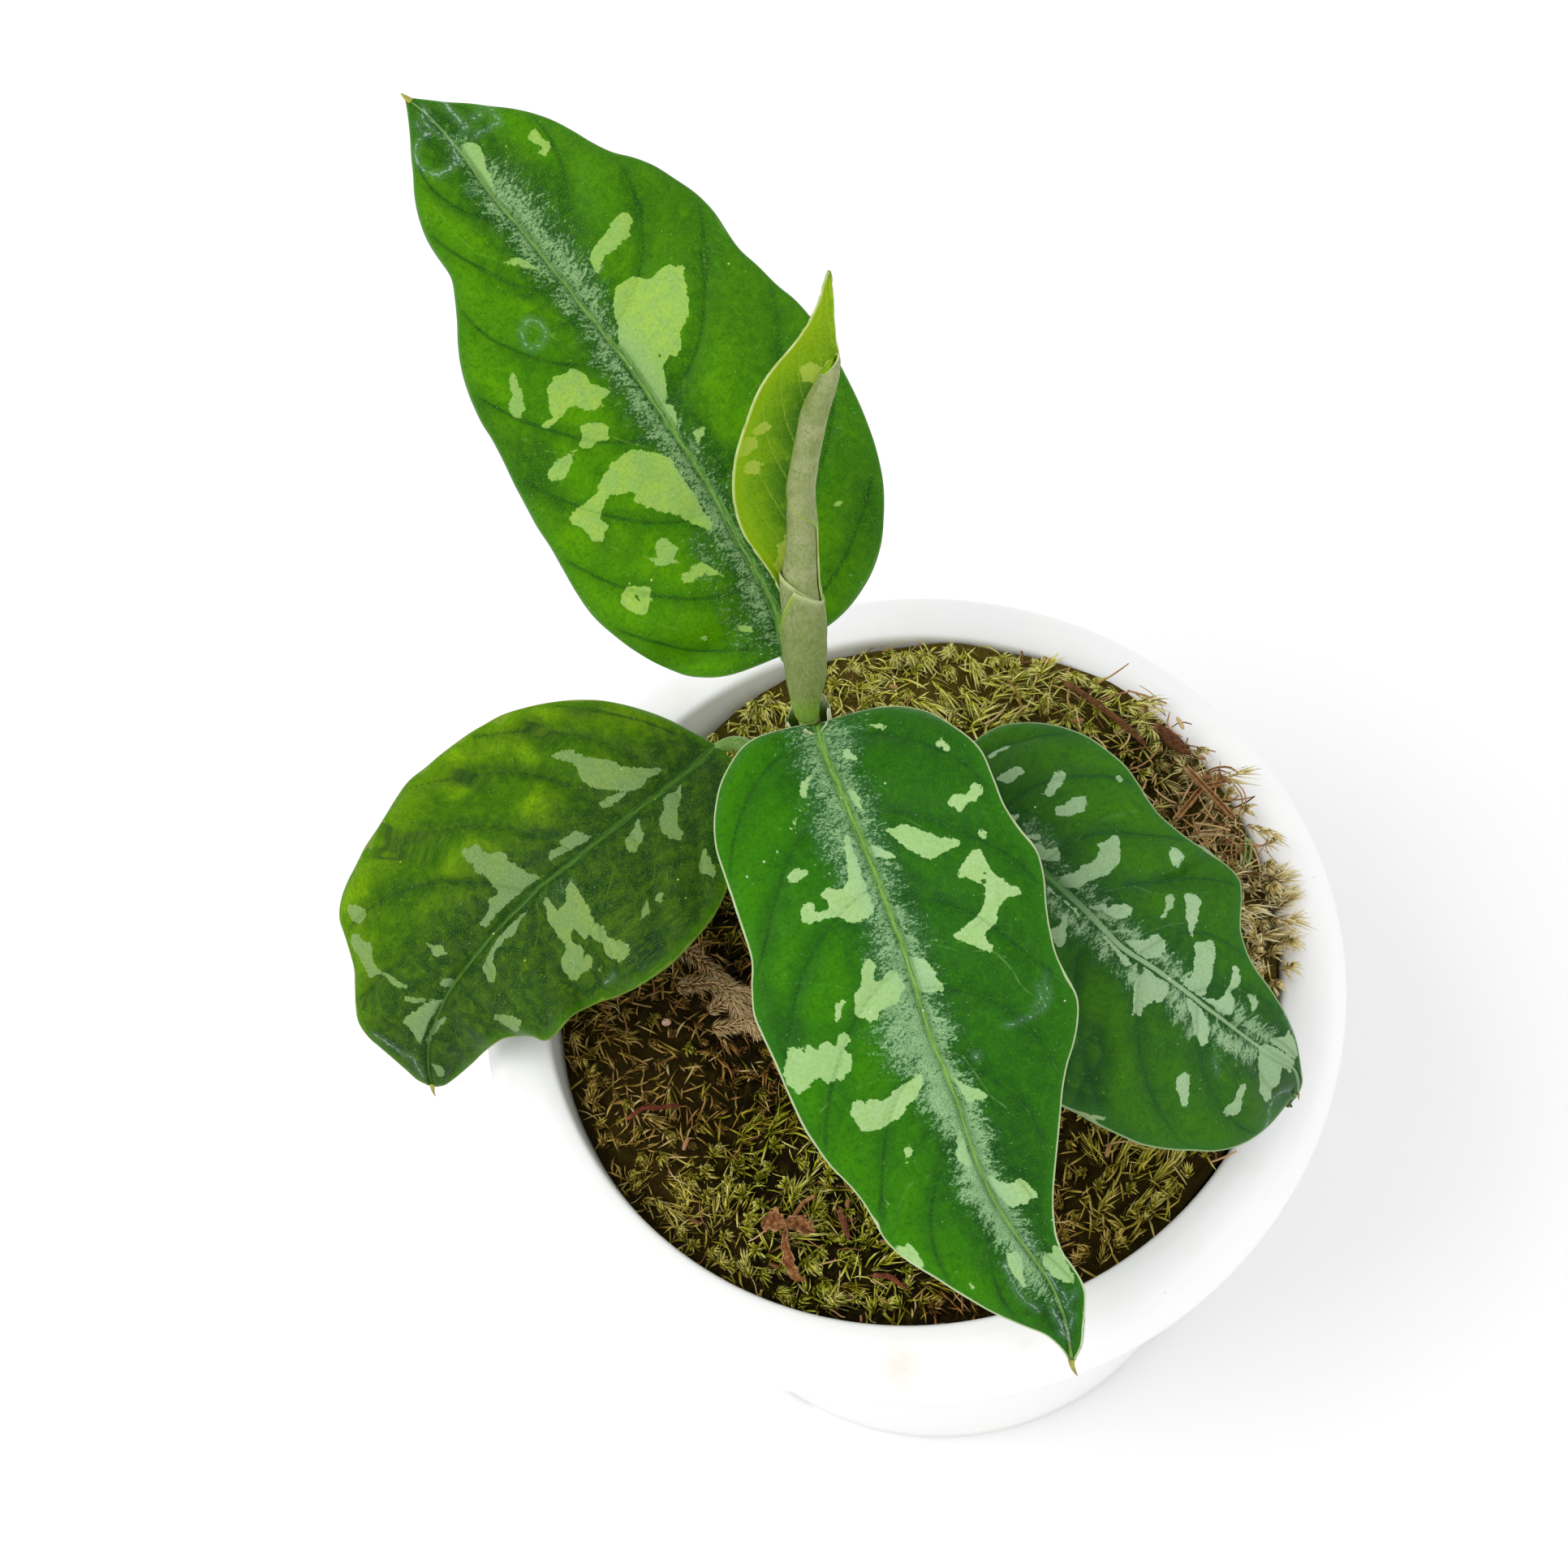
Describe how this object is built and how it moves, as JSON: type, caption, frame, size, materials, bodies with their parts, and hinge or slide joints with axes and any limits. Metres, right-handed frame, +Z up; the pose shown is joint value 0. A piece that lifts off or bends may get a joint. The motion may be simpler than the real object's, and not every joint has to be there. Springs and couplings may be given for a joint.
{
  "type": "potted bicolor aglaonema pictum",
  "caption": "Young variegated aroid house plant with open leaves and one rolled new leaf, in a round white plastic pot with moss over the potting mix.",
  "frame": {"origin": "centre of the pot's base, on the surface it stands on", "axes": "+Z up out of the pot; the front leaf hangs towards -Y and the tall back leaf leans towards +Y and -X"},
  "size_m": [0.1247, 0.1417, 0.2049],
  "materials": {
    "pot_plastic": "satin",
    "potting_mix": "matte",
    "moss": "matte",
    "stem": "satin",
    "roots": "matte",
    "leaf_variegated": "satin",
    "leaf_new": "satin",
    "dry_moss": "matte",
    "dead_leaf": "matte",
    "bark": "matte",
    "straw": "matte",
    "mineral": "matte"
  },
  "bodies": {
    "root": {"pot": "pot_plastic", "potting_mix": "potting_mix", "moss_bed": "moss", "stem": "stem", "roots": "roots", "leaf_back_left": "leaf_variegated", "leaf_left": "leaf_variegated", "leaf_front": "leaf_variegated", "leaf_right": "leaf_variegated", "new_leaf": "leaf_new", "dry_moss_tuft": "dry_moss", "dead_leaf_curl": "dead_leaf", "twig": "bark", "straw_1": "straw", "straw_2": "straw", "straw_3": "straw", "straw_4": "straw", "bark_strip": "bark", "root_twig": "bark", "stick": "bark", "wood_splinter": "bark", "perlite_grain": "mineral"}
  },
  "joints": []
}
